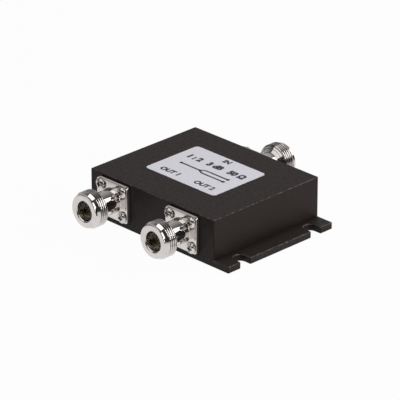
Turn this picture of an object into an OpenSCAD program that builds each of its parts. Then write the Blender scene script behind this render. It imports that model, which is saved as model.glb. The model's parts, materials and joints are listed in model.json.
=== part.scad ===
// Two-way coaxial power splitter. A painted case holds the divider board, a base plate with
// mounting ears closes it from below, and three flanged sockets stand on its front and back.
// X runs along the front face, the outputs face -Y, and Z = 0 is the underside of the plate.

/* [Case] */
// Width of the case along its front face
body_w = 72; // [68:0.5:80]
// Depth of the case from the front face to the back face
body_d = 60.5; // [58:0.5:70]
// Height of the case above the base plate
body_h = 17.8; // [17:0.1:20]
// Thickness of the four upright walls
wall_t = 5; // [4.6:0.1:5.6]
// Thickness of the roof
roof_t = 3; // [2:0.1:3.4]
// Radius of the upright corners
corner_r = 0.5; // [0.3:0.1:2]
// Radius of the edge round the roof
edge_r = 0.3; // [0.2:0.1:0.8]
// Radius that the cutter leaves in the corners of the pocket
pocket_r = 3; // [2:0.1:3.6]
// Width of the ledge that carries the board
ledge_w = 5; // [4.6:0.1:5.6]

/* [Base plate] */
// Thickness of the plate
plate_t = 3; // [2.6:0.1:3.6]
// How far each ear stands out from the case
ear_w = 8.25; // [7.5:0.25:10]
// Radius of the corners of the plate
plate_r = 0.5; // [0.3:0.1:2]
// Distance between the two notches of one ear
notch_pitch = 40.8; // [36:0.2:46]
// Width of a notch
notch_w = 5.6; // [5:0.1:6.4]
// Depth of a notch from the edge of the ear
notch_depth = 6; // [5:0.1:6.8]

/* [Cover screws] */
// Shank diameter of a cover screw
cover_screw_d = 3; // [2.5:0.1:3.2]
// Head diameter of a cover screw
cover_head_d = 6; // [5.4:0.1:6.4]
// Length of a cover screw with its head
cover_screw_len = 8; // [7:0.1:9]
// How deep the head lies under the face of the plate
cover_head_sunk = 0.2; // [0.1:0.05:0.3]
// Diameter of the posts that take the cover screws
post_d = 8; // [7:0.1:8.6]
// Distance of a corner post from the two faces of the case
post_inset = 6; // [5.4:0.1:6.6]
// Distance of a side post from the side face of the case
side_post_inset = 4; // [3.6:0.1:4.6]

/* [Ports] */
// Distance between the two output ports
port_spacing = 40.4; // [36:0.2:42]
// Place of the ports to the left of the middle of the case
port_shift = 1.1; // [0:0.1:2]
// Drop of the port axes below the middle of the case
port_drop = 0.3; // [0:0.1:0.4]
// Distance from the face of the case to the rim of a socket
port_len = 17.8; // [17.4:0.1:20]
// Width of the flange
flange_w = 17.8; // [17:0.1:18.4]
// Height of the flange
flange_h = 16.4; // [16:0.1:17]
// Thickness of the flange
flange_t = 2; // [1.5:0.1:2.4]
// Radius of the corners of the flange
flange_r = 1.2; // [0.6:0.1:2]
// Diameter of the neck between flange and barrel
neck_d = 10.6; // [9.8:0.1:11.2]
// Outside diameter of the thread
thread_d = 15.88; // [15.4:0.02:16.2]
// Length of the threaded barrel with its groove and rim
barrel_len = 7; // [6:0.1:8]
// Bevel at the front end of the thread
thread_bevel = 0.4; // [0.2:0.05:0.6]
// Bevel at the back end of the thread
back_bevel = 1.2; // [0.6:0.1:1.3]
// Width of the cone from the neck to the back of the barrel
neck_cone = 1.3; // [0.8:0.1:1.4]
// Diameter of the plain ring in front of the thread
rim_d = 14.7; // [14.4:0.1:15.4]
// Length of the plain ring
rim_len = 1.1; // [0.9:0.1:1.6]
// Rounding of the outer edge of the rim
rim_r = 0.5; // [0.3:0.1:0.8]
// Diameter at the bottom of the groove behind the ring
groove_d = 13.6; // [13:0.1:14.2]
// Width of the groove
groove_w = 0.9; // [0.5:0.1:1.2]

/* [Socket] */
// Diameter of the socket
socket_d = 8.6; // [8:0.1:8.8]
// Depth of the socket to its reference plane
socket_depth = 9.1; // [8.7:0.1:9.4]
// Bevel at the mouth of the socket
mouth_bevel = 0.2; // [0.1:0.05:0.5]
// Bore behind the reference plane
line_d = 7; // [6.6:0.1:7.2]
// Length of that bore in front of the bead
line_len = 0.9; // [0.7:0.1:1.4]
// Diameter of the insulating bead in the connector
bead_d = 7.6; // [7.4:0.1:8]
// Diameter of the bead where it passes the wall
bead_tail_d = 6.5; // [6:0.1:6.9]
// Radial play between parts that fit in each other
fit_gap = 0.05; // [0.02:0.01:0.08]

/* [Contact] */
// Outside diameter of the female contact
contact_d = 3.04; // [2.9:0.02:3.3]
// Hole of the female contact
contact_hole_d = 1.65; // [1.5:0.05:1.8]
// Depth of that hole
contact_hole_depth = 5; // [4.4:0.1:5.4]
// Distance of the contact's tip behind the rim
contact_recess = 4.2; // [4:0.1:4.8]
// Width of the two slots that make its four fingers
contact_slot_w = 0.35; // [0.2:0.05:0.5]
// Length of the slots
contact_slot_len = 4; // [3.4:0.1:4.3]
// Diameter of the pin inside the bead
pin_d = 2.3; // [2.1:0.1:2.5]
// Diameter of the pin inside the wall
tail_d = 2; // [1.8:0.1:2]
// Length of the pin that lies under the track
tail_len = 3.2; // [2.6:0.1:4]
// Height of the flat on the pin above its axis
tail_flat = 0.5; // [0.3:0.05:0.7]

/* [Flange screws] */
// Distance of a flange screw from the two nearest edges of the flange
flange_screw_inset = 2.55; // [2.5:0.05:2.7]
// Shank diameter of a flange screw
flange_screw_d = 2.5; // [2.2:0.1:2.6]
// Head diameter of a flange screw
flange_head_d = 4.8; // [4.4:0.1:5]
// Head height of a flange screw
flange_head_h = 1.7; // [1.4:0.1:2]
// Length of a flange screw under its head
flange_screw_len = 5.5; // [5:0.1:5.8]
// Play of the screw in the hole of the flange
flange_hole_gap = 0.1; // [0.05:0.05:0.2]

/* [Board] */
// Thickness of the laminate
board_t = 1; // [0.8:0.1:1.5]
// Play between the board and the walls
board_gap = 0.75; // [0.5:0.05:1]
// Thickness of the copper
track_t = 0.1; // [0.05:0.05:0.2]
// Width of the feed line and the output lines
line_w = 2.6; // [2.2:0.1:3]
// Width of the arms of the first loop
arm_w = 1.1; // [0.9:0.1:1.3]
// How much wider the arms of each next loop are
arm_step = 0.4; // [0.2:0.1:0.5]
// Outside width of a loop
loop_w = 17; // [14:0.5:20]
// Distance from one loop to the next
loop_d = 9; // [8:0.25:9.5]
// Outside radius of a loop's corners
loop_r = 3; // [2.5:0.1:3.5]
// Number of loops in the divider
loops = 3; // [2:1:3]
// Distance from the back wall of the pocket to the first loop
feed_len = 7.5; // [6:0.25:9]
// Gap between the two halves of the divider
split_gap = 1; // [0.8:0.1:1.2]
// Length of a chip resistor across the gap
chip_l = 2.2; // [2:0.1:2.6]
// Width of a chip resistor
chip_w = 1.25; // [1:0.05:1.6]
// Height of a chip resistor
chip_h = 0.55; // [0.4:0.05:0.7]

/* [Board screws] */
// Shank diameter of a board screw
board_screw_d = 2; // [1.6:0.1:2.2]
// Head diameter of a board screw
board_head_d = 3.8; // [3.4:0.1:4]
// Head height of a board screw
board_head_h = 1.3; // [1:0.1:1.6]
// Length of a board screw under its head
board_screw_len = 4; // [3.4:0.1:4.4]
// Distance of the board screws from the walls of the pocket
board_screw_inset = 2.8; // [2.7:0.05:3]
// Distance between the board screws along each side wall
side_screw_pitch = 24; // [20:0.5:28]
// Distance between the board screws along the back wall
back_screw_pitch = 28; // [24:0.5:30]

/* [Label] */
// Width of the label
label_w = 40.3; // [30:0.1:46]
// Depth of the label
label_d = 30.4; // [24:0.1:36]
// Thickness of the label
label_t = 0.12; // [0.05:0.01:0.2]
// Radius of the label's corners
label_r = 1.8; // [0.5:0.1:3]
// Place of the label's middle to the right of the middle of the roof
label_x = -0.8; // [-3:0.1:3]
// Place of the label's middle behind the middle of the roof
label_y = 1.4; // [-3:0.1:3]

/* [Hidden] */
$fn = 64;

// Overshoot of a cutting tool
cut = 1;
// Free length of a tapped hole past the end of its screw
drill_room = 0.6;
// Depth of a cross recess as a share of the head's height
recess_share = 0.55;
// Width of a cross recess as a share of the shank
recess_w_share = 0.3;
// Upright edge of a pan head as a share of its height
pan_edge_share = 0.45;

// Heights
top_z = plate_t + body_h;
roof_z = top_z - roof_t;
port_z = plate_t + body_h / 2 - port_drop;
track_z = port_z + tail_flat;
board_z = track_z + track_t;
ledge_z = board_z + board_t;

// Plan of the case and its pocket
face_y = body_d / 2;
pocket_w = body_w - 2 * wall_t;
pocket_d = body_d - 2 * wall_t;
inner_y = pocket_d / 2;
board_w = pocket_w - 2 * board_gap;
board_d = pocket_d - 2 * board_gap;
post_x = body_w / 2 - post_inset;
post_y = body_d / 2 - post_inset;
side_post_x = body_w / 2 - side_post_inset;
cover_places = [for (x = [-post_x, post_x], y = [-post_y, post_y]) [x, y],
    [-side_post_x, 0], [side_post_x, 0]];

// Places of the board screws: along the side walls, the back wall and the middle of the front
screw_x = pocket_w / 2 - board_screw_inset;
screw_y = inner_y - board_screw_inset;
board_places = [for (x = [-screw_x, screw_x], y = [-1, 1]) [x, y * side_screw_pitch / 2],
    [-back_screw_pitch / 2, screw_y], [back_screw_pitch / 2, screw_y], [0, -screw_y]];

// Each port: its X place, the face it stands on and its turn about Z
INPUT = [-port_shift, face_y, 180];
OUTPUT_1 = [-port_shift - port_spacing / 2, -face_y, 0];
OUTPUT_2 = [-port_shift + port_spacing / 2, -face_y, 0];

// Stations along a port, outwards from the face of the case
barrel_z = port_len - barrel_len;
groove_z = port_len - rim_len - groove_w;
socket_z = port_len - socket_depth;
bead_z = socket_z - line_len;
tip_z = port_len - contact_recess;

// Rows of the divider from the back to the front
chain_y = inner_y - feed_len;
run_y = chain_y - loops * loop_d;
board_front_y = -board_d / 2;

// Shapes in the plane

module round_rect(w, d, r) {
    square([w - 2 * r, d], center = true);
    square([w, d - 2 * r], center = true);
    for (x = [-1, 1], y = [-1, 1])
        translate([x * (w / 2 - r), y * (d / 2 - r)])
            circle(r);
}

// Upright outline with two rounded top corners
module round_top(w, h, r) {
    translate([-w / 2, 0])
        square([w, h - r]);
    translate([-w / 2 + r, 0])
        square([w - 2 * r, h]);
    for (x = [-1, 1])
        translate([x * (w / 2 - r), h - r])
            circle(r);
}

// Outline of the board, with room for the posts
module board_outline() {
    difference() {
        square([board_w, board_d], center = true);
        for (p = cover_places)
            translate(p)
                circle(d = post_d + 2 * board_gap);
        for (p = board_places)
            translate(p)
                circle(d = board_screw_d + 2 * fit_gap);
    }
}

// Solids that are used more than once

// Pan-head screw with its seat at Z = 0, its head up and a cross recess
module pan_screw(shank_d, length, head_d, head_h) {
    dome_h = head_h * (1 - pan_edge_share);
    dome_r = (head_d * head_d / 4 + dome_h * dome_h) / (2 * dome_h);
    recess_h = head_h * recess_share;
    difference() {
        union() {
            intersection() {
                cylinder(d = head_d, h = head_h);
                translate([0, 0, head_h - dome_r])
                    sphere(dome_r, $fn = 96);
            }
            translate([0, 0, -length])
                cylinder(d = shank_d, h = length + head_h / 4);
        }
        cross_recess(shank_d, head_h - recess_h, recess_h);
    }
}

// Cutter for a cross recess from height z upwards
module cross_recess(shank_d, z, h) {
    for (turn = [0, 90])
        rotate(turn)
            translate([-shank_d / 2, -shank_d * recess_w_share / 2, z])
                cube([shank_d, shank_d * recess_w_share, h + cut]);
}

// Sets its children on a port, with +Z outwards and +Y up
module at_port(port) {
    translate([port[0], port[1], port_z])
        rotate([90, 0, port[2]])
            children();
}

module at_flange_screws() {
    for (x = [-1, 1], y = [-1, 1])
        translate([x * (flange_w / 2 - flange_screw_inset), y * (flange_h / 2 - flange_screw_inset)])
            children();
}

// Half outline of the turned neck and barrel
module barrel_profile() {
    thread_r = thread_d / 2;
    square([neck_d / 2, port_len - rim_r]);
    polygon([[0, barrel_z - neck_cone], [neck_d / 2, barrel_z - neck_cone],
        [neck_d / 2 + neck_cone, barrel_z], [0, barrel_z]]);
    polygon([[0, barrel_z], [thread_r - back_bevel, barrel_z], [thread_r, barrel_z + back_bevel],
        [thread_r, groove_z - thread_bevel], [thread_r - thread_bevel, groove_z], [0, groove_z]]);
    translate([0, barrel_z])
        square([groove_d / 2, barrel_len - rim_r]);
    translate([0, groove_z + groove_w])
        square([rim_d / 2, rim_len - rim_r]);
    translate([0, port_len - rim_len])
        square([rim_d / 2 - rim_r, rim_len]);
    translate([rim_d / 2 - rim_r, port_len - rim_r])
        circle(rim_r);
}

module connector_body(port) {
    mouth_d = socket_d + 2 * mouth_bevel;
    color("#d8d2c8")
    at_port(port)
    difference() {
        union() {
            linear_extrude(flange_t)
                round_rect(flange_w, flange_h, flange_r);
            rotate_extrude()
                barrel_profile();
        }
        translate([0, 0, -cut])
            cylinder(d = bead_d + 2 * fit_gap, h = bead_z + cut);
        translate([0, 0, bead_z - cut])
            cylinder(d = line_d, h = line_len + 2 * cut);
        translate([0, 0, socket_z])
            cylinder(d = socket_d, h = socket_depth + cut);
        translate([0, 0, port_len - mouth_bevel])
            cylinder(d1 = socket_d, d2 = mouth_d, h = mouth_bevel);
        at_flange_screws()
            translate([0, 0, -cut])
                cylinder(d = flange_screw_d + 2 * flange_hole_gap, h = flange_t + 2 * cut);
    }
}

// Bead with a wide part in the connector and a narrow part in the wall
module insulator(port) {
    color("#f2f0ea")
    at_port(port)
    difference() {
        union() {
            cylinder(d = bead_d, h = bead_z);
            translate([0, 0, -wall_t])
                cylinder(d = bead_tail_d, h = wall_t + bead_z / 2);
        }
        cylinder(d = pin_d + 2 * fit_gap, h = bead_z + cut);
        translate([0, 0, -wall_t - cut])
            cylinder(d = tail_d + 2 * fit_gap, h = wall_t + 2 * cut);
    }
}

// Turned contact: slotted female end, pin through the bead and a flat tail for the track
module contact(port) {
    color("#c9a24a")
    at_port(port)
    difference() {
        union() {
            translate([0, 0, bead_z])
                cylinder(d = contact_d, h = tip_z - bead_z);
            cylinder(d = pin_d, h = bead_z + fit_gap);
            translate([0, 0, -wall_t - tail_len])
                cylinder(d = tail_d, h = wall_t + tail_len + fit_gap);
        }
        translate([0, 0, tip_z - contact_hole_depth])
            cylinder(d = contact_hole_d, h = contact_hole_depth + cut);
        for (turn = [45, 135])
            rotate(turn)
                translate([-contact_d, -contact_slot_w / 2, tip_z - contact_slot_len])
                    cube([2 * contact_d, contact_slot_w, contact_slot_len + cut]);
        translate([-tail_d, tail_flat, -wall_t - tail_len - cut])
            cube([2 * tail_d, tail_d, tail_len + cut]);
    }
}

module flange_screws(port) {
    color("#cfcbc4")
    at_port(port)
    at_flange_screws()
        translate([0, 0, flange_t])
            pan_screw(flange_screw_d, flange_screw_len, flange_head_d, flange_head_h);
}

// The case and its base

module housing_block() {
    intersection() {
        translate([0, 0, plate_t])
            linear_extrude(body_h)
                round_rect(body_w, body_d, corner_r);
        translate([0, body_d / 2, plate_t])
            rotate([90, 0, 0])
                linear_extrude(body_d)
                    round_top(body_w, body_h, edge_r);
        translate([-body_w / 2, 0, plate_t])
            rotate([90, 0, 90])
                linear_extrude(body_w)
                    round_top(body_d, body_h, edge_r);
    }
}

// Pocket from below: wide up to the ledge, narrower above it
module housing_pocket() {
    difference() {
        translate([0, 0, plate_t - cut])
            linear_extrude(ledge_z - plate_t + cut)
                round_rect(pocket_w, pocket_d, pocket_r);
        for (p = cover_places)
            translate([p[0], p[1], plate_t - 2 * cut])
                cylinder(d = post_d, h = ledge_z - plate_t + 3 * cut);
    }
    translate([0, 0, ledge_z - cut])
        linear_extrude(roof_z - ledge_z + cut)
            round_rect(pocket_w - 2 * ledge_w, pocket_d - 2 * ledge_w, pocket_r);
}

module port_cutters(port) {
    flange_tap = flange_screw_len - flange_t + drill_room;
    at_port(port) {
        translate([0, 0, -wall_t - cut])
            cylinder(d = bead_tail_d + 2 * fit_gap, h = wall_t + 2 * cut);
        at_flange_screws()
            translate([0, 0, -flange_tap])
                cylinder(d = flange_screw_d + 2 * fit_gap, h = flange_tap + cut);
    }
}

module housing() {
    cover_tap = cover_screw_len + cover_head_sunk - plate_t + drill_room;
    board_tap = board_screw_len - board_t + drill_room;
    color("#2b2827")
    difference() {
        housing_block();
        housing_pocket();
        for (port = [INPUT, OUTPUT_1, OUTPUT_2])
            port_cutters(port);
        for (p = cover_places)
            translate([p[0], p[1], plate_t - cut])
                cylinder(d = cover_screw_d + 2 * fit_gap, h = cover_tap + cut);
        for (p = board_places)
            translate([p[0], p[1], ledge_z - cut])
                cylinder(d = board_screw_d + 2 * fit_gap, h = board_tap + cut);
    }
}

module notch() {
    reach = notch_depth - notch_w / 2;
    circle(d = notch_w);
    translate([0, -notch_w / 2])
        square([reach + cut, notch_w]);
}

module base_plate() {
    plate_w = body_w + 2 * ear_w;
    notch_x = plate_w / 2 - notch_depth + notch_w / 2;
    sink_d = cover_head_d + 2 * cover_head_sunk;
    hole_d = cover_screw_d + 4 * fit_gap;
    color("#242221")
    difference() {
        linear_extrude(plate_t)
            difference() {
                round_rect(plate_w, body_d, plate_r);
                for (side = [0, 180], y = [-1, 1])
                    rotate(side)
                        translate([notch_x, y * notch_pitch / 2])
                            notch();
            }
        for (p = cover_places)
            translate(p) {
                translate([0, 0, -cut])
                    cylinder(d = hole_d, h = plate_t + 2 * cut);
                cylinder(d1 = sink_d, d2 = hole_d, h = (sink_d - hole_d) / 2);
            }
    }
}

// Countersunk screws, head down, flush under the plate
module cover_screws() {
    cone_h = (cover_head_d - cover_screw_d) / 2;
    color("#3a3836")
    for (p = cover_places)
        translate([p[0], p[1], cover_head_sunk])
            difference() {
                union() {
                    cylinder(d1 = cover_head_d, d2 = cover_screw_d, h = cone_h);
                    cylinder(d = cover_screw_d, h = cover_screw_len);
                }
                mirror([0, 0, 1])
                    cross_recess(cover_screw_d, -cone_h * recess_share, cone_h * recess_share);
            }
}

module label() {
    color("#dedce4")
    translate([label_x, label_y, top_z])
        linear_extrude(label_t)
            round_rect(label_w, label_d, label_r);
}

// The divider

module circuit_board() {
    color("#e6e2d2")
    translate([0, 0, board_z])
        linear_extrude(board_t)
            board_outline();
}

// One loop of the divider, its upper side at Y = 0
module loop(arm) {
    translate([0, -loop_d / 2])
        difference() {
            round_rect(loop_w, loop_d + arm, loop_r);
            round_rect(loop_w - 2 * arm, loop_d - arm, loop_r - arm / 2);
        }
}

// Line from the end of the divider to one output pin
module output_line(side) {
    line_x = side * port_spacing / 2;
    run_len = port_spacing / 2 - split_gap / 2;
    translate([min(line_x, side * split_gap / 2), run_y - line_w / 2])
        square([run_len, line_w]);
    translate([line_x, run_y])
        circle(d = line_w);
    translate([line_x - line_w / 2, board_front_y + board_gap])
        square([line_w, run_y - board_front_y - board_gap]);
}

module copper_tracks() {
    color("#b87b4b")
    translate([-port_shift, 0, track_z])
        linear_extrude(track_t) {
            translate([-line_w / 2, chain_y])
                square([line_w, board_d / 2 - board_gap - chain_y]);
            difference() {
                for (i = [0:loops - 1])
                    translate([0, chain_y - i * loop_d])
                        loop(arm_w + i * arm_step);
                translate([-split_gap / 2, run_y - loop_d / 2])
                    square([split_gap, chain_y - run_y]);
            }
            output_line(-1);
            output_line(1);
        }
}

// Chips across the gap at the end of each loop, on the open side of the board
module isolation_resistors() {
    color("#1d1f24")
    for (i = [1:loops])
        translate([-port_shift - chip_l / 2, chain_y - i * loop_d - chip_w / 2, track_z - chip_h])
            cube([chip_l, chip_w, chip_h]);
}

// Pan-head screws, heads down, through the board into the ledge
module board_screws() {
    color("#b9b7b2")
    for (p = board_places)
        translate([p[0], p[1], board_z])
            mirror([0, 0, 1])
                pan_screw(board_screw_d, board_screw_len, board_head_d, board_head_h);
}

housing();
base_plate();
cover_screws();
label();
circuit_board();
copper_tracks();
isolation_resistors();
board_screws();
connector_body(INPUT);  // input_body
insulator(INPUT);  // input_insulator
contact(INPUT);  // input_contact
flange_screws(INPUT);  // input_flange_screws
connector_body(OUTPUT_1);  // output_1_body
insulator(OUTPUT_1);  // output_1_insulator
contact(OUTPUT_1);  // output_1_contact
flange_screws(OUTPUT_1);  // output_1_flange_screws
connector_body(OUTPUT_2);  // output_2_body
insulator(OUTPUT_2);  // output_2_insulator
contact(OUTPUT_2);  // output_2_contact
flange_screws(OUTPUT_2);  // output_2_flange_screws
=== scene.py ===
"""Looks of the two-way coaxial power splitter: finishes, threads, print, light and camera.

Lengths are in millimetres until a mesh is made, and MM turns them into the frame's metres.
The camera's clipping and the studio's lengths are in metres.
"""

import json
import math

import bmesh
import bpy
from mathutils import Matrix, Vector


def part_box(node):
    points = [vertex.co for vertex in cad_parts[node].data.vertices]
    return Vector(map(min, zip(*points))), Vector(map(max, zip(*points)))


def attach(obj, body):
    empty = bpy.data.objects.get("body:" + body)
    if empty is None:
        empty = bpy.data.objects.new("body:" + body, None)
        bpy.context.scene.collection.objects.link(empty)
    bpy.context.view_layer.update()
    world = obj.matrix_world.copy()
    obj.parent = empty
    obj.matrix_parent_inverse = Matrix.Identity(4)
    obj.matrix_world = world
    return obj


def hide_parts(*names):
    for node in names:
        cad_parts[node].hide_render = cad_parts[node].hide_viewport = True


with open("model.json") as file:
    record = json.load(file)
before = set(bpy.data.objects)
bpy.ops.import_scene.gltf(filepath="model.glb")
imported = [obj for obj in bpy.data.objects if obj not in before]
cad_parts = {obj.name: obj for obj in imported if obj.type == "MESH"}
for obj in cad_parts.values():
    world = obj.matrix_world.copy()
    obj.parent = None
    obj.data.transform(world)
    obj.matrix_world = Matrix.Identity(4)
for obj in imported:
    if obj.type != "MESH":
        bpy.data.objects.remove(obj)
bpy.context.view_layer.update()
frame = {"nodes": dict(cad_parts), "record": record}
nodes = frame["nodes"]
MM = 0.001
BODY = "root"
PORTS = ("input", "output_1", "output_2")


# Node materials

def srgb(red, green, blue):
    """Linear colour of an 8-bit screen colour."""
    def linear(value):
        share = value / 255.0
        return share / 12.92 if share <= 0.04045 else ((share + 0.055) / 1.055) ** 2.4
    return tuple(linear(v) for v in (red, green, blue))


def gray(level):
    return (level, level, level)


def new_node(tree, kind, **values):
    made = tree.nodes.new(kind)
    for key, value in values.items():
        setattr(made, key, value)
    return made


def combine(tree, operation, first, second):
    """Math node of two sockets or numbers; gives its output."""
    made = new_node(tree, "ShaderNodeMath", operation=operation)
    for socket, value in zip(made.inputs, (first, second)):
        if isinstance(value, float):
            socket.default_value = value
        else:
            tree.links.new(value, socket)
    return made.outputs["Value"]


def map_range(tree, source, start, end):
    """Carries the source from the range start over to the range end."""
    made = new_node(tree, "ShaderNodeMapRange")
    made.inputs["From Min"].default_value, made.inputs["From Max"].default_value = start
    made.inputs["To Min"].default_value, made.inputs["To Max"].default_value = end
    tree.links.new(source, made.inputs["Value"])
    return made.outputs["Result"]


# Parts of a noise over which a colour or a roughness changes
COLOR_SPAN = (0.35, 0.65)
ROUGHNESS_SPAN = (0.3, 0.7)
# Product of a face's level and upright shares from which it counts as all edge
EDGE_SLOPE = 0.2
# Painted shade in corners: its strongest share, the openness over which it fades, its colour and
# reach
CORNER_SHADE_SHARE = 0.85
CORNER_SHADE_SPAN = (0.4, 0.75)
CORNER_SHADE = srgb(52, 48, 44)
CORNER_SHADE_REACH = 0.9
# Paint: sizes of its mottle, chips and sheen, its gloss, its painted corner shade and its worn
# edges with their painted highlight
PAINT_MOTTLE = 0.5
PAINT_CHIP = 1.6
PAINT_SHEEN = 1.5
PAINT_ROUGHNESS = (0.34, 0.5)
PAINT_SPECULAR = 0.12
PAINT_CORNER_SHADE = srgb(20, 17, 16)
PAINT_CORNER_SHADE_REACH = 9.0
# Least share of the light colour on every level edge, a painted highlight line; the chips over it
# are wear
EDGE_HIGHLIGHT_LEAST = 0.12
CHIP_SPAN = (0.45, 0.7)
# Light colours of the worn edges, which also paint the edges' highlight
EDGE_WEAR_AND_HIGHLIGHT = srgb(112, 106, 102)
PLATE_EDGE_WEAR_AND_HIGHLIGHT = srgb(132, 124, 118)
# Metal: size of its change of tint, and the range of its roughness
METAL_TINT = 4.0
METAL_POLISH = (0.7, 1.4)
# Label film: sizes of its speckle and sheen, and its gloss
FILM_SPECKLE = 0.35
FILM_SHEEN = 0.5
FILM_ROUGHNESS = (0.36, 0.5)
FILM_METALLIC = 0.12
# Dull materials: height of the grain, and its size as a part of the mottle
PLAIN_GRAIN = 0.01
PLAIN_GRAIN_PART = 1.0 / 3.0


class Finish:
    """A principled material with a few shorthand calls for its procedural nodes."""

    def __init__(self, name, color, roughness, metallic=0.0):
        self.material = bpy.data.materials.new(name)
        self.material.use_nodes = True
        self.tree = self.material.node_tree
        self.shader = self.tree.nodes["Principled BSDF"]
        self.set("Base Color", (*color, 1.0))
        self.set("Roughness", roughness)
        self.set("Metallic", metallic)
        self.place = self.node("ShaderNodeTexCoord").outputs["Object"]

    def set(self, socket, value):
        self.shader.inputs[socket].default_value = value

    def node(self, kind, **values):
        return new_node(self.tree, kind, **values)

    def link(self, source, target):
        self.tree.links.new(source, target)

    def noise(self, size_mm, detail=2.0):
        """Noise with features of about size_mm."""
        texture = self.node("ShaderNodeTexNoise")
        texture.inputs["Scale"].default_value = 1.0 / (size_mm * MM)
        texture.inputs["Detail"].default_value = detail
        self.link(self.place, texture.inputs["Vector"])
        return texture.outputs["Fac"]

    def ramp(self, source, low, high, span=COLOR_SPAN):
        """Colour ramp from low to high over the given part of the source."""
        made = self.node("ShaderNodeValToRGB")
        first, last = made.color_ramp.elements
        first.position, last.position = span
        first.color, last.color = (*low, 1.0), (*high, 1.0)
        self.link(source, made.inputs["Fac"])
        return made.outputs["Color"]

    def vary_color(self, source, low, high):
        self.link(self.ramp(source, low, high), self.shader.inputs["Base Color"])

    def vary_roughness(self, source, low, high):
        spread = map_range(self.tree, source, ROUGHNESS_SPAN, (low, high))
        self.link(spread, self.shader.inputs["Roughness"])

    def level_edges(self):
        """1 on the rounded edges of level faces, and 0 on level and upright faces."""
        facing = self.node("ShaderNodeNewGeometry")
        split = self.node("ShaderNodeSeparateXYZ")
        self.link(facing.outputs["True Normal"], split.inputs["Vector"])
        level = self.times(split.outputs["Z"], split.outputs["Z"])
        upright = combine(self.tree, "SUBTRACT", 1.0, level)
        return map_range(self.tree, self.times(level, upright), (0.0, EDGE_SLOPE), (0.0, 1.0))

    def times(self, first, second):
        return combine(self.tree, "MULTIPLY", first, second)

    def mix_color(self, share, color):
        """Lays one colour over the present base colour by a share from 0 to 1."""
        base = self.shader.inputs["Base Color"]
        made = self.node("ShaderNodeMixRGB")
        self.link(share, made.inputs["Fac"])
        self.link(base.links[0].from_socket, made.inputs["Color1"])
        made.inputs["Color2"].default_value = (*color, 1.0)
        self.link(made.outputs["Color"], base)

    def shade_corners(self, reach_mm, color):
        """Paints shade into the corners that other faces close in within reach_mm."""
        shade = self.node("ShaderNodeAmbientOcclusion")
        shade.inputs["Distance"].default_value = reach_mm * MM
        shade_share = self.ramp(shade.outputs["AO"], gray(CORNER_SHADE_SHARE), gray(0.0), CORNER_SHADE_SPAN)
        self.mix_color(shade_share, color)

    def bump(self, source, height_mm):
        made = self.node("ShaderNodeBump")
        made.inputs["Strength"].default_value = 1.0
        made.inputs["Distance"].default_value = height_mm * MM
        self.link(source, made.inputs["Height"])
        self.link(made.outputs["Normal"], self.shader.inputs["Normal"])


def paint(name, dark, light, grain_mm, grain_height_mm, worn_and_highlit):
    """Matt black paint: sandy grain, uneven sheen, painted shade in the corners and lightly worn
    edges with a painted highlight.
    """
    made = Finish(name, dark, PAINT_ROUGHNESS[1])
    made.vary_color(made.noise(PAINT_MOTTLE, detail=4.0), dark, light)
    wear_and_highlight_share = made.ramp(made.noise(PAINT_CHIP, detail=4.0), gray(EDGE_HIGHLIGHT_LEAST), gray(1.0), CHIP_SPAN)
    # Painted shade: the paint darkens near the base plate and other close faces
    made.shade_corners(PAINT_CORNER_SHADE_REACH, PAINT_CORNER_SHADE)
    # Level edges get a light colour: a painted highlight line with wear in chips over it
    made.mix_color(made.times(made.level_edges(), wear_and_highlight_share), worn_and_highlit)
    made.vary_roughness(made.noise(PAINT_SHEEN, detail=3.0), *PAINT_ROUGHNESS)
    made.bump(made.noise(grain_mm, detail=3.0), grain_height_mm)
    made.set("Specular IOR Level", PAINT_SPECULAR)
    return made.material


def metal(name, low, high, roughness, mark_mm, shaded_corners=False):
    """Plated metal with a slight change of tint, polishing marks and, if asked, painted shade in
    its corners.
    """
    made = Finish(name, high, roughness, 1.0)
    made.vary_color(made.noise(METAL_TINT), low, high)
    # Painted shade in the corners
    if shaded_corners:
        made.shade_corners(CORNER_SHADE_REACH, CORNER_SHADE)
    least, most = METAL_POLISH
    made.vary_roughness(made.noise(mark_mm, detail=3.0), roughness * least, roughness * most)
    return made.material


def film(name, low, high):
    """Silvery label film: pale lilac grey with a faint metallic speckle."""
    made = Finish(name, high, FILM_ROUGHNESS[1], FILM_METALLIC)
    made.vary_color(made.noise(FILM_SPECKLE), low, high)
    made.vary_roughness(made.noise(FILM_SHEEN), *FILM_ROUGHNESS)
    return made.material


def plain(name, low, high, roughness, mottle_mm):
    """Dull material with a mottled colour and a slight grain."""
    made = Finish(name, high, roughness)
    made.vary_color(made.noise(mottle_mm, detail=3.0), low, high)
    made.bump(made.noise(mottle_mm * PLAIN_GRAIN_PART), PLAIN_GRAIN)
    return made.material


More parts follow.
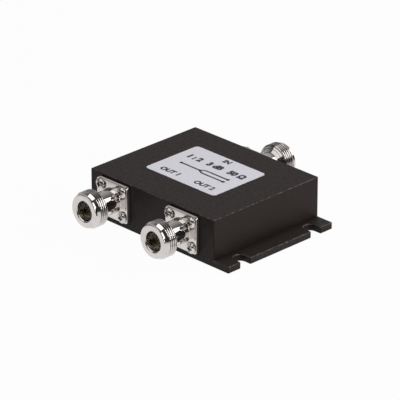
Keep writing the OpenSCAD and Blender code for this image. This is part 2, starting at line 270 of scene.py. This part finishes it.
# Paints: dark and light colour, size and height of the grain, colour of the worn edges with their
# painted highlight
# Metals: low and high colour, roughness, size of the polishing marks, painted shade in corners
# Dull materials: low and high colour, roughness, size of the mottle
FINISHES = {name: make(name, *values) for name, (make, *values) in {
    "case_paint": (paint, srgb(36, 29, 27), srgb(44, 36, 34), 0.35, 0.03, EDGE_WEAR_AND_HIGHLIGHT),
    "plate_paint": (paint, srgb(26, 21, 20), srgb(60, 52, 49), 0.5, 0.1, PLATE_EDGE_WEAR_AND_HIGHLIGHT),
    "black_screw": (metal, srgb(48, 46, 45), srgb(70, 67, 64), 0.4, 0.4),
    "label_film": (film, srgb(218, 216, 225), srgb(234, 232, 239)),
    "laminate": (plain, srgb(214, 206, 178), srgb(228, 221, 196), 0.55, 1.2),
    "copper": (metal, srgb(190, 112, 74), srgb(216, 140, 98), 0.3, 0.6),
    "chip": (plain, srgb(22, 24, 30), srgb(34, 36, 42), 0.4, 0.6),
    "steel": (metal, srgb(186, 184, 180), srgb(205, 203, 199), 0.25, 0.3),
    "nickel": (metal, srgb(204, 199, 196), srgb(214, 209, 206), 0.08, 0.5, True),
    # Dark metal painted into the back groove, the thread's start and its roots as their shade
    "groove_shade": (metal, srgb(90, 86, 81), srgb(118, 112, 106), 0.3, 0.3),
    "bore_nickel": (metal, srgb(200, 197, 190), srgb(210, 207, 201), 0.2, 0.5),
    "ptfe": (plain, srgb(232, 229, 222), srgb(242, 240, 235), 0.5, 0.8),
    "gold": (metal, srgb(196, 184, 158), srgb(212, 202, 178), 0.2, 0.4),
    "screw_nickel": (metal, srgb(200, 195, 191), srgb(212, 207, 203), 0.1, 0.3, True),
    "ink": (plain, srgb(34, 33, 38), srgb(46, 45, 50), 0.5, 0.6),
}.items()}


def dress(obj, slot):
    """Gives a CAD node the finish of its slot."""
    if not obj.material_slots:
        obj.data.materials.append(FINISHES[slot])
    for material_slot in obj.material_slots:
        material_slot.material = FINISHES[slot]


WELD_REACH = 0.001
SOFT_ANGLE = math.radians(40)
SOFT_STEPS = 2


def soften(obj, width_mm):
    """Joins the faces of a solid and rounds its sharp edges by a small bevel."""
    weld = obj.modifiers.new("joined", "WELD")
    weld.merge_threshold = WELD_REACH * MM
    bevel = obj.modifiers.new("soft_edges", "BEVEL")
    bevel.width = width_mm * MM
    bevel.segments = SOFT_STEPS
    bevel.limit_method = "ANGLE"
    bevel.angle_limit = SOFT_ANGLE
    bevel.use_clamp_overlap = False
    bevel.loop_slide = False
    bevel.harden_normals = True


def add_piece(name, mesh):
    obj = bpy.data.objects.new(name, mesh)
    bpy.context.scene.collection.objects.link(obj)
    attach(obj, BODY)
    return obj


def finished_mesh(bm, name):
    """Mesh of a finished bmesh, which is freed."""
    mesh = bpy.data.meshes.new(name)
    bm.to_mesh(mesh)
    bm.free()
    return mesh


# CAD nodes that keep their solids

for part in frame["record"]["subparts"]:
    dress(nodes[part["node"]], part["material_slot"])
PLATE_EDGE = 0.3
soften(nodes["base_plate"], PLATE_EDGE)


# Connector bodies with their real thread

THREAD_D = 15.88
THREAD_PITCH = 1.058
THREAD_DEPTH = 0.5
BARREL_LEN = 7.0
BACK_D = 13.3
BACK_BEVEL = 0.6
RIM_D = 14.3
RIM_LEN = 1.05
RIM_R = 0.35
RIM_STEPS = 8
LEAD_LEN = 1.15
NECK_D = 10.6
NECK_FILLET = 0.35
NECK_FILLET_STEPS = 5
NECK_CONE = 1.1
FLANGE_T = 2.0
FLANGE_R = 1.2
FLANGE_CORNER_STEPS = 8
FLANGE_EDGE = 0.18
FLANGE_EDGE_MIDDLE = 0.3
SCREW_INSET = 2.55
SCREW_HOLE_D = 2.7
SCREW_HOLE_COLUMNS = 24
SOCKET_D = 8.6
SOCKET_DEPTH = 9.1
MOUTH_BEVEL = 0.5
MOUTH_EDGE_W = 0.08
MOUTH_EDGE_H = 0.02
LINE_D = 7.0
LINE_LEN = 0.9
BEAD_BORE_D = 7.7
COLUMNS = 144
ROWS_PER_TURN = 14
# Rows of a turn about the thread's root, and how steeply the thread begins
ROOT_ROWS = (6, 7, 8)
RUN_OUT_SLOPE = 2.0
# Thread profile: share of one turn and share of the thread's depth
FLANKS = ((0.0, 1.0), (0.2, 1.0), (0.46, 0.0), (0.6, 0.0), (0.86, 1.0), (1.0, 1.0))
SHARP = math.radians(32)
TINY = 1e-6
CONNECTOR_FINISHES = ("nickel", "bore_nickel", "groove_shade")
BORE = CONNECTOR_FINISHES.index("bore_nickel")
# Material index of the painted groove shade
GROOVE_SHADE_INDEX = CONNECTOR_FINISHES.index("groove_shade")


def flank(share):
    """Height of the thread, 0 at the root and 1 at the crest, at a share of one turn."""
    for (a, low), (b, high) in zip(FLANKS, FLANKS[1:]):
        if a <= share <= b:
            return low + (high - low) * (share - a) / (b - a)
    return 1.0


def on_circle(radius, height, column, columns=COLUMNS):
    angle = 2 * math.pi * column / columns
    return Vector((radius * math.cos(angle), radius * math.sin(angle), height)) * MM


def ring(bm, radius, height, columns=COLUMNS, center=(0.0, 0.0)):
    shift = Vector((*center, 0.0)) * MM
    return [bm.verts.new(on_circle(radius, height, c, columns) + shift) for c in range(columns)]


def skin(bm, low, high):
    """Band of quads between two closed rows of equal length."""
    count = len(low)
    for i in range(count):
        j = (i + 1) % count
        bm.faces.new((low[i], low[j], high[j], high[i]))


def slab(bm, low, high):
    """Closed plate between two rows of equal length."""
    skin(bm, low, high)
    bm.faces.new(high)
    bm.faces.new(low[::-1])


def lathe(bm, first, profile):
    """Turns a profile of (radius, height) points from the ring first on; gives the last ring."""
    last = first
    for radius, height in profile:
        row = ring(bm, radius, height)
        skin(bm, last, row)
        last = row
    return last


def arc(center_r, center_z, radius, start, end, steps):
    """Points of a rounded edge in the lathe's profile, from one angle to another in degrees."""
    points = []
    for i in range(steps + 1):
        angle = math.radians(start + (end - start) * i / steps)
        points.append((center_r + radius * math.cos(angle), center_z + radius * math.sin(angle)))
    return points


def thread(bm, first, low, high):
    """Helical thread from the ring first, at height low, up to height high.

    Gives the last ring and the faces of the thread's root.
    """
    crest = THREAD_D / 2
    root = crest - THREAD_DEPTH
    last = ring(bm, crest, high)
    turns = (high - low) / THREAD_PITCH
    rows = math.ceil((turns + 1) * ROWS_PER_TURN)
    root_faces = set()
    made = {}

    def vertex(column, row):
        if column == COLUMNS:
            column, row = 0, row - ROWS_PER_TURN
        height = low + (row / ROWS_PER_TURN - column / COLUMNS) * THREAD_PITCH
        if height <= low + TINY:
            return first[column]
        if height >= high - TINY:
            return last[column]
        if (column, row) not in made:
            radius = root + THREAD_DEPTH * flank((row % ROWS_PER_TURN) / ROWS_PER_TURN)
            radius = min(radius, root + RUN_OUT_SLOPE * (height - low))
            made[column, row] = bm.verts.new(on_circle(radius, height, column))
        return made[column, row]

    for column in range(COLUMNS):
        for row in range(rows):
            corners = (vertex(column, row), vertex(column + 1, row),
                       vertex(column + 1, row + 1), vertex(column, row + 1))
            distinct = list(dict.fromkeys(corners))
            if len(distinct) > 2:
                face = bm.faces.new(distinct)
                if row % ROWS_PER_TURN in ROOT_ROWS:
                    root_faces.add(face)
    return last, root_faces


def outline(bm, width, depth, radius, height):
    """Rounded rectangle, counted anticlockwise."""
    row = []
    reach_x, reach_y = width / 2 - radius, depth / 2 - radius
    for turn, (sx, sy) in enumerate(((1, 1), (-1, 1), (-1, -1), (1, -1))):
        for i in range(FLANGE_CORNER_STEPS + 1):
            angle = math.radians(90 * (turn + i / FLANGE_CORNER_STEPS))
            x = sx * reach_x + radius * math.cos(angle)
            y = sy * reach_y + radius * math.sin(angle)
            row.append(bm.verts.new(Vector((x, y, height)) * MM))
    return row


def close_plane(bm, rows):
    """Fills the flat area between an outer row and the rows of its holes."""
    edges = []
    for row in rows:
        for a, b in zip(row, row[1:] + row[:1]):
            edge = bm.edges.get((a, b)) or bm.edges.new((a, b))
            edges.append(edge)
    bmesh.ops.triangle_fill(bm, use_beauty=True, edges=edges)


def mark_sharp(bm):
    for face in bm.faces:
        face.smooth = True
    for edge in bm.edges:
        if len(edge.link_faces) == 2 and edge.calc_face_angle(0.0) > SHARP:
            edge.smooth = False


def add_turned_part(bm, length):
    """Neck, barrel, rim and bore; gives the rings at the neck's foot and the bore's back."""
    neck = NECK_D / 2
    root = THREAD_D / 2 - THREAD_DEPTH
    rim = RIM_D / 2
    socket = SOCKET_D / 2
    barrel = length - BARREL_LEN
    lead = length - RIM_LEN - LEAD_LEN
    step = length - SOCKET_DEPTH

    foot = ring(bm, neck + NECK_FILLET, FLANGE_T)
    fillet = arc(neck + NECK_FILLET, FLANGE_T + NECK_FILLET, NECK_FILLET, 270, 180,
                 NECK_FILLET_STEPS)[1:]
    cone = [(neck, barrel - NECK_CONE), (neck + NECK_CONE, barrel)]
    neck_end = lathe(bm, foot, fillet + cone)

    # The back face, the thread's start and the thread's roots get the painted groove shade
    clean = set(bm.faces)
    back_face = lathe(bm, neck_end, [(BACK_D / 2, barrel)])
    shaded_faces = set(bm.faces) - clean
    thread_low = barrel + BACK_BEVEL
    bevel = lathe(bm, back_face, [(BACK_D / 2 + BACK_BEVEL, thread_low)])
    clean = set(bm.faces)
    back = lathe(bm, bevel, [(root, thread_low)])
    shaded_faces |= set(bm.faces) - clean
    front, root_faces = thread(bm, back, thread_low, lead)
    shaded_faces |= root_faces

    lead_in = [(rim, length - RIM_LEN)]
    rounding = arc(rim - RIM_R, length - RIM_R, RIM_R, 0, 90, RIM_STEPS)
    mouth_r = socket + MOUTH_BEVEL
    mouth = lathe(bm, front, lead_in + rounding + [
        (mouth_r + MOUTH_EDGE_W, length), (mouth_r, length - MOUTH_EDGE_H)])
    outside = set(bm.faces)
    bore = lathe(bm, mouth, [
        (socket, length - MOUTH_BEVEL), (socket, step), (LINE_D / 2, step),
        (LINE_D / 2, step - LINE_LEN), (BEAD_BORE_D / 2, step - LINE_LEN), (BEAD_BORE_D / 2, 0.0)])
    for face in bm.faces:
        if face not in outside:
            face.material_index = BORE
        elif face in shaded_faces:
            face.material_index = GROOVE_SHADE_INDEX
    return foot, bore


def add_flange(bm, width, depth, foot, bore):
    """Flange with eased edges and four screw holes, from the bore's back to the neck's foot."""
    middle = FLANGE_EDGE * FLANGE_EDGE_MIDDLE
    steps = (
        (FLANGE_EDGE / 2, 0.0), (0.0, FLANGE_EDGE / 2), (0.0, FLANGE_T - FLANGE_EDGE),
        (middle, FLANGE_T - middle), (FLANGE_EDGE, FLANGE_T))
    rows = [outline(bm, width - 2 * inset, depth - 2 * inset, FLANGE_R - inset, height)
            for inset, height in steps]
    for low, high in zip(rows, rows[1:]):
        skin(bm, low, high)
    reach_x, reach_y = width / 2 - SCREW_INSET, depth / 2 - SCREW_INSET
    holes = []
    for x in (-reach_x, reach_x):
        for y in (-reach_y, reach_y):
            low = ring(bm, SCREW_HOLE_D / 2, 0.0, SCREW_HOLE_COLUMNS, (x, y))
            high = ring(bm, SCREW_HOLE_D / 2, FLANGE_T, SCREW_HOLE_COLUMNS, (x, y))
            skin(bm, low, high)
            holes.append((low, high))
    close_plane(bm, [rows[-1], foot] + [high for _, high in holes])
    close_plane(bm, [rows[0], bore] + [low for low, _ in holes])


def connector_mesh(length, flange_w, flange_h):
    """Connector body along +Z, with the back of its flange at Z = 0."""
    bm = bmesh.new()
    foot, bore = add_turned_part(bm, length)
    add_flange(bm, flange_w, flange_h, foot, bore)
    bmesh.ops.recalc_face_normals(bm, faces=bm.faces)
    mark_sharp(bm)
    return finished_mesh(bm, "connector")


def port_matrix(port):
    """Places +Z of a part along the outward axis of a port, with +Y up."""
    low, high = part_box(port + "_body")
    outward = 1.0 if low.y > 0 else -1.0
    face_y = low.y if outward > 0 else high.y
    place = Vector(((low.x + high.x) / 2, face_y, (low.z + high.z) / 2))
    about = Matrix.Rotation(math.pi if outward > 0 else 0.0, 4, "Z")
    lay = Matrix.Rotation(math.pi / 2, 4, "X")
    return Matrix.Translation(place) @ about @ lay


def add_connectors():
    low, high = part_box("output_1_body")
    shared = connector_mesh(*((high - low) / MM).yxz)
    for port in PORTS:
        mesh = shared.copy()
        mesh.transform(port_matrix(port))
        for finish in CONNECTOR_FINISHES:
            mesh.materials.append(FINISHES[finish])
        piece = add_piece(port + "_connector", mesh)
        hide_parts(port + "_body")


SCREW_EDGE = 0.12
CONTACT_EDGE = 0.06
add_connectors()
for port_name in PORTS:
    soften(nodes[port_name + "_flange_screws"], SCREW_EDGE)
    soften(nodes[port_name + "_contact"], CONTACT_EDGE)


# Print on the label: port marks, plain ratings and a forked line

INK_T = 0.02
# Size of the font for letters 1 high
FONT_SIZE = 1.4
FONT_STEPS = 4
# Name, words, place of the middle in x and y, height of the letters, added weight
MARKS = (
    ("print_in", "IN", -0.4, 13.6, 2.7, 0.2),
    ("print_rating", "1 : 2   3 dB   50 Ω", -0.4, 7.2, 3.2, 0.32),
    ("print_out_1", "OUT 1", -10.4, -9.3, 2.7, 0.2),
    ("print_out_2", "OUT 2", 9.3, -9.3, 2.7, 0.2),
)
FORK_Y = 0.0
FORK_START = -13.5
FORK_SPLIT = -3.0
FORK_END = 12.3
FORK_RISE = 1.4
FORK_RUN = 2 * FORK_RISE
FORK_LINE = 0.9
FORK_DOT_R = 0.8
FORK_DOT_COLUMNS = 20
label_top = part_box("label")[1].z


def add_print(name, mesh):
    """Gives a printed mesh its ink and adds it as a piece."""
    mesh.materials.clear()
    mesh.materials.append(FINISHES["ink"])
    add_piece(name, mesh)


def add_text(name, words, x, y, height, weight):
    """Flat lettering with its middle at (x, y) on the label."""
    curve = bpy.data.curves.new(name, "FONT")
    curve.body = words
    curve.size = height * FONT_SIZE * MM
    curve.align_x = "CENTER"
    curve.align_y = "CENTER"
    curve.offset = weight * MM
    curve.extrude = INK_T / 2 * MM
    curve.resolution_u = FONT_STEPS
    lettering = bpy.data.objects.new(name, curve)
    bpy.context.scene.collection.objects.link(lettering)
    bpy.context.view_layer.update()
    shaped = lettering.evaluated_get(bpy.context.evaluated_depsgraph_get())
    mesh = bpy.data.meshes.new_from_object(shaped)
    bpy.data.objects.remove(lettering)
    mesh.transform(Matrix.Translation(Vector((x * MM, y * MM, label_top + INK_T / 2 * MM))))
    add_print(name, mesh)


def add_bar(bm, start, end, width):
    """Thin printed stroke from start to end."""
    a, b = Vector((*start, 0.0)), Vector((*end, 0.0))
    side = Vector((a.y - b.y, b.x - a.x, 0.0)).normalized() * width / 2
    corners = [(p * MM).to_tuple() for p in (a - side, b - side, b + side, a + side)]
    low = [bm.verts.new((x, y, label_top)) for x, y, _ in corners]
    high = [bm.verts.new((x, y, label_top + INK_T * MM)) for x, y, _ in corners]
    slab(bm, low, high)


def add_dot(bm, x, y):
    low = ring(bm, FORK_DOT_R, 0.0, FORK_DOT_COLUMNS, (x, y))
    high = ring(bm, FORK_DOT_R, INK_T, FORK_DOT_COLUMNS, (x, y))
    for vert in low + high:
        vert.co.z += label_top
    slab(bm, low, high)


def add_fork():
    bm = bmesh.new()
    add_bar(bm, (FORK_START, FORK_Y), (FORK_SPLIT, FORK_Y), FORK_LINE)
    add_dot(bm, FORK_START, FORK_Y)
    for side in (-1, 1):
        rise = FORK_Y + side * FORK_RISE
        add_bar(bm, (FORK_SPLIT, FORK_Y), (FORK_SPLIT + FORK_RUN, rise), FORK_LINE)
        add_bar(bm, (FORK_SPLIT + FORK_RUN, rise), (FORK_END, rise), FORK_LINE)
        add_dot(bm, FORK_END, rise)
    add_print("print_fork", finished_mesh(bm, "print_fork"))


for mark in MARKS:
    add_text(*mark)
add_fork()


# Camera at the photograph's angle

AZIMUTH = 45.40
ELEVATION = 24.81
DISTANCE = 1440.0
LENS = 314.0
TARGET = Vector((0.0, 0.0, 8.64))
OFFSET_RIGHT = -1.78
OFFSET_UP = -0.33
SENSOR_W = 36.0
CLIP_START = 0.05
CLIP_END = 20.0


def add_camera():
    azimuth, elevation = math.radians(AZIMUTH), math.radians(ELEVATION)
    right = Vector((math.cos(azimuth), math.sin(azimuth), 0.0))
    level = Vector((math.sin(azimuth), -math.cos(azimuth), 0.0))
    back = level * math.cos(elevation) + Vector((0.0, 0.0, math.sin(elevation)))
    up = back.cross(right)
    data = bpy.data.cameras.new("camera")
    data.lens = LENS
    data.sensor_width = SENSOR_W
    data.clip_start = CLIP_START
    data.clip_end = CLIP_END
    camera = bpy.data.objects.new("camera", data)
    place = (TARGET + DISTANCE * back + OFFSET_RIGHT * right + OFFSET_UP * up) * MM
    axes = Matrix((right, up, back)).transposed().to_4x4()
    camera.matrix_world = Matrix.Translation(place) @ axes
    bpy.context.scene.collection.objects.link(camera)
    bpy.context.scene.camera = camera


add_camera()


# Studio: white sheet, soft lamps and a grey surround that is brightest at the left back

BRIGHT_SIDE = (-0.7, 0.71, 0.0)
# How far a direction lies to the bright side, and the light from there
DARK_FROM, DARK = 0.08, 0.04
BRIGHT_FROM, BRIGHT = 0.8, 0.5
FLOOR_SIZE = 24.0
FLOOR_GAP = 0.05 * MM
# Tone of the sheet in scattered light, and how much of it glows for the camera and mirrors
FLOOR_TONE = 0.45
GLOW_SHARE = 0.97
# Distances over which the sheet fades for mirrors, and what is left of it
FADE_SPAN = (0.085, 0.25)
FADE_LEFT = 0.3
# Distance of a glint lamp as a share of its lamp's distance
GLINT_SHARE = 0.98
# Lamps: name, place, width and height, power in watts; the key's last power is for its glint
KEY_LAMP = ("key", (0.587, 0.683, 0.631), (1.0, 0.55), 9.0, 4.0)
PLAIN_LAMPS = (
    ("front", (-0.1, -0.77, 0.64), (1.2, 0.62), 2.6),
    ("top", (-0.12, -0.38, 1.02), (0.75, 0.38), 1.7),
    ("right", (0.95, 0.0, 0.35), (0.4, 0.4), 3.2),
)


def add_lamp(name, place, size, power):
    data = bpy.data.lights.new(name, "AREA")
    data.shape = "RECTANGLE"
    data.size, data.size_y = size
    data.energy = power
    lamp = bpy.data.objects.new(name, data)
    lamp.location = place
    lamp.rotation_euler = (-Vector(place)).to_track_quat("-Z", "Y").to_euler()
    bpy.context.scene.collection.objects.link(lamp)
    return lamp


def add_soft_lamp(name, place, size, power, glint_power):
    """Lamp that mirrors see at a lower power, so that its glints keep their detail."""
    add_lamp(name, place, size, power).visible_glossy = False
    nearer = tuple(GLINT_SHARE * value for value in place)
    add_lamp(name + "_glint", nearer, size, glint_power).visible_diffuse = False


def larger(tree, first, second):
    return combine(tree, "MAXIMUM", first, second)


def sheet_glow(tree, is_camera):
    """White for the camera; mirrors see a white sheet that fades away from the object."""
    place = new_node(tree, "ShaderNodeTexCoord")
    reach = new_node(tree, "ShaderNodeVectorMath", operation="LENGTH")
    tree.links.new(place.outputs["Object"], reach.inputs[0])
    fade = map_range(tree, reach.outputs["Value"], FADE_SPAN, (1.0, FADE_LEFT))
    return larger(tree, is_camera, fade)


def sheet_material():
    """Dull sheet that glows for the camera and mirrors, and is open from below."""
    material = bpy.data.materials.new("floor_white")
    material.use_nodes = True
    tree = material.node_tree
    tree.nodes.clear()
    path = new_node(tree, "ShaderNodeLightPath").outputs
    is_camera = path["Is Camera Ray"]
    is_mirror = larger(tree, path["Is Glossy Ray"], path["Is Transmission Ray"])
    share = combine(tree, "MULTIPLY", larger(tree, is_camera, is_mirror), GLOW_SHARE)

    diffuse = new_node(tree, "ShaderNodeBsdfDiffuse")
    diffuse.inputs["Color"].default_value = (*gray(FLOOR_TONE), 1.0)
    glow = new_node(tree, "ShaderNodeEmission")
    glow.inputs["Color"].default_value = (*gray(1.0), 1.0)
    tree.links.new(sheet_glow(tree, is_camera), glow.inputs["Strength"])
    clear = new_node(tree, "ShaderNodeBsdfTransparent")
    from_below = new_node(tree, "ShaderNodeNewGeometry").outputs["Backfacing"]

    def mix(fac, first, second):
        made = new_node(tree, "ShaderNodeMixShader")
        for link, socket in zip((fac, first, second), made.inputs):
            tree.links.new(link, socket)
        return made.outputs["Shader"]

    sheet = mix(share, diffuse.outputs["BSDF"], glow.outputs["Emission"])
    surface = mix(from_below, sheet, clear.outputs["BSDF"])
    out = new_node(tree, "ShaderNodeOutputMaterial")
    tree.links.new(surface, out.inputs["Surface"])
    return material


def add_floor():
    bpy.ops.mesh.primitive_plane_add(size=FLOOR_SIZE)
    floor = bpy.context.object
    floor.name = "floor"
    floor.location.z = -FLOOR_GAP
    floor.data.materials.append(sheet_material())


def add_world():
    world = bpy.data.worlds.new("studio")
    bpy.context.scene.world = world
    world.use_nodes = True
    tree = world.node_tree
    background = tree.nodes["Background"]
    place = new_node(tree, "ShaderNodeTexCoord")
    towards = new_node(tree, "ShaderNodeVectorMath", operation="DOT_PRODUCT")
    towards.inputs[1].default_value = BRIGHT_SIDE
    ramp = new_node(tree, "ShaderNodeValToRGB")
    low, high = ramp.color_ramp.elements
    low.position, low.color = DARK_FROM, (*gray(DARK), 1.0)
    high.position, high.color = BRIGHT_FROM, (*gray(BRIGHT), 1.0)
    tree.links.new(place.outputs["Generated"], towards.inputs[0])
    tree.links.new(towards.outputs["Value"], ramp.inputs["Fac"])
    tree.links.new(ramp.outputs["Color"], background.inputs["Color"])
    background.inputs["Strength"].default_value = 1.0


add_floor()
add_world()
add_soft_lamp(*KEY_LAMP)
for lamp_values in PLAIN_LAMPS:
    add_lamp(*lamp_values)
bpy.context.scene.view_settings.view_transform = "Standard"
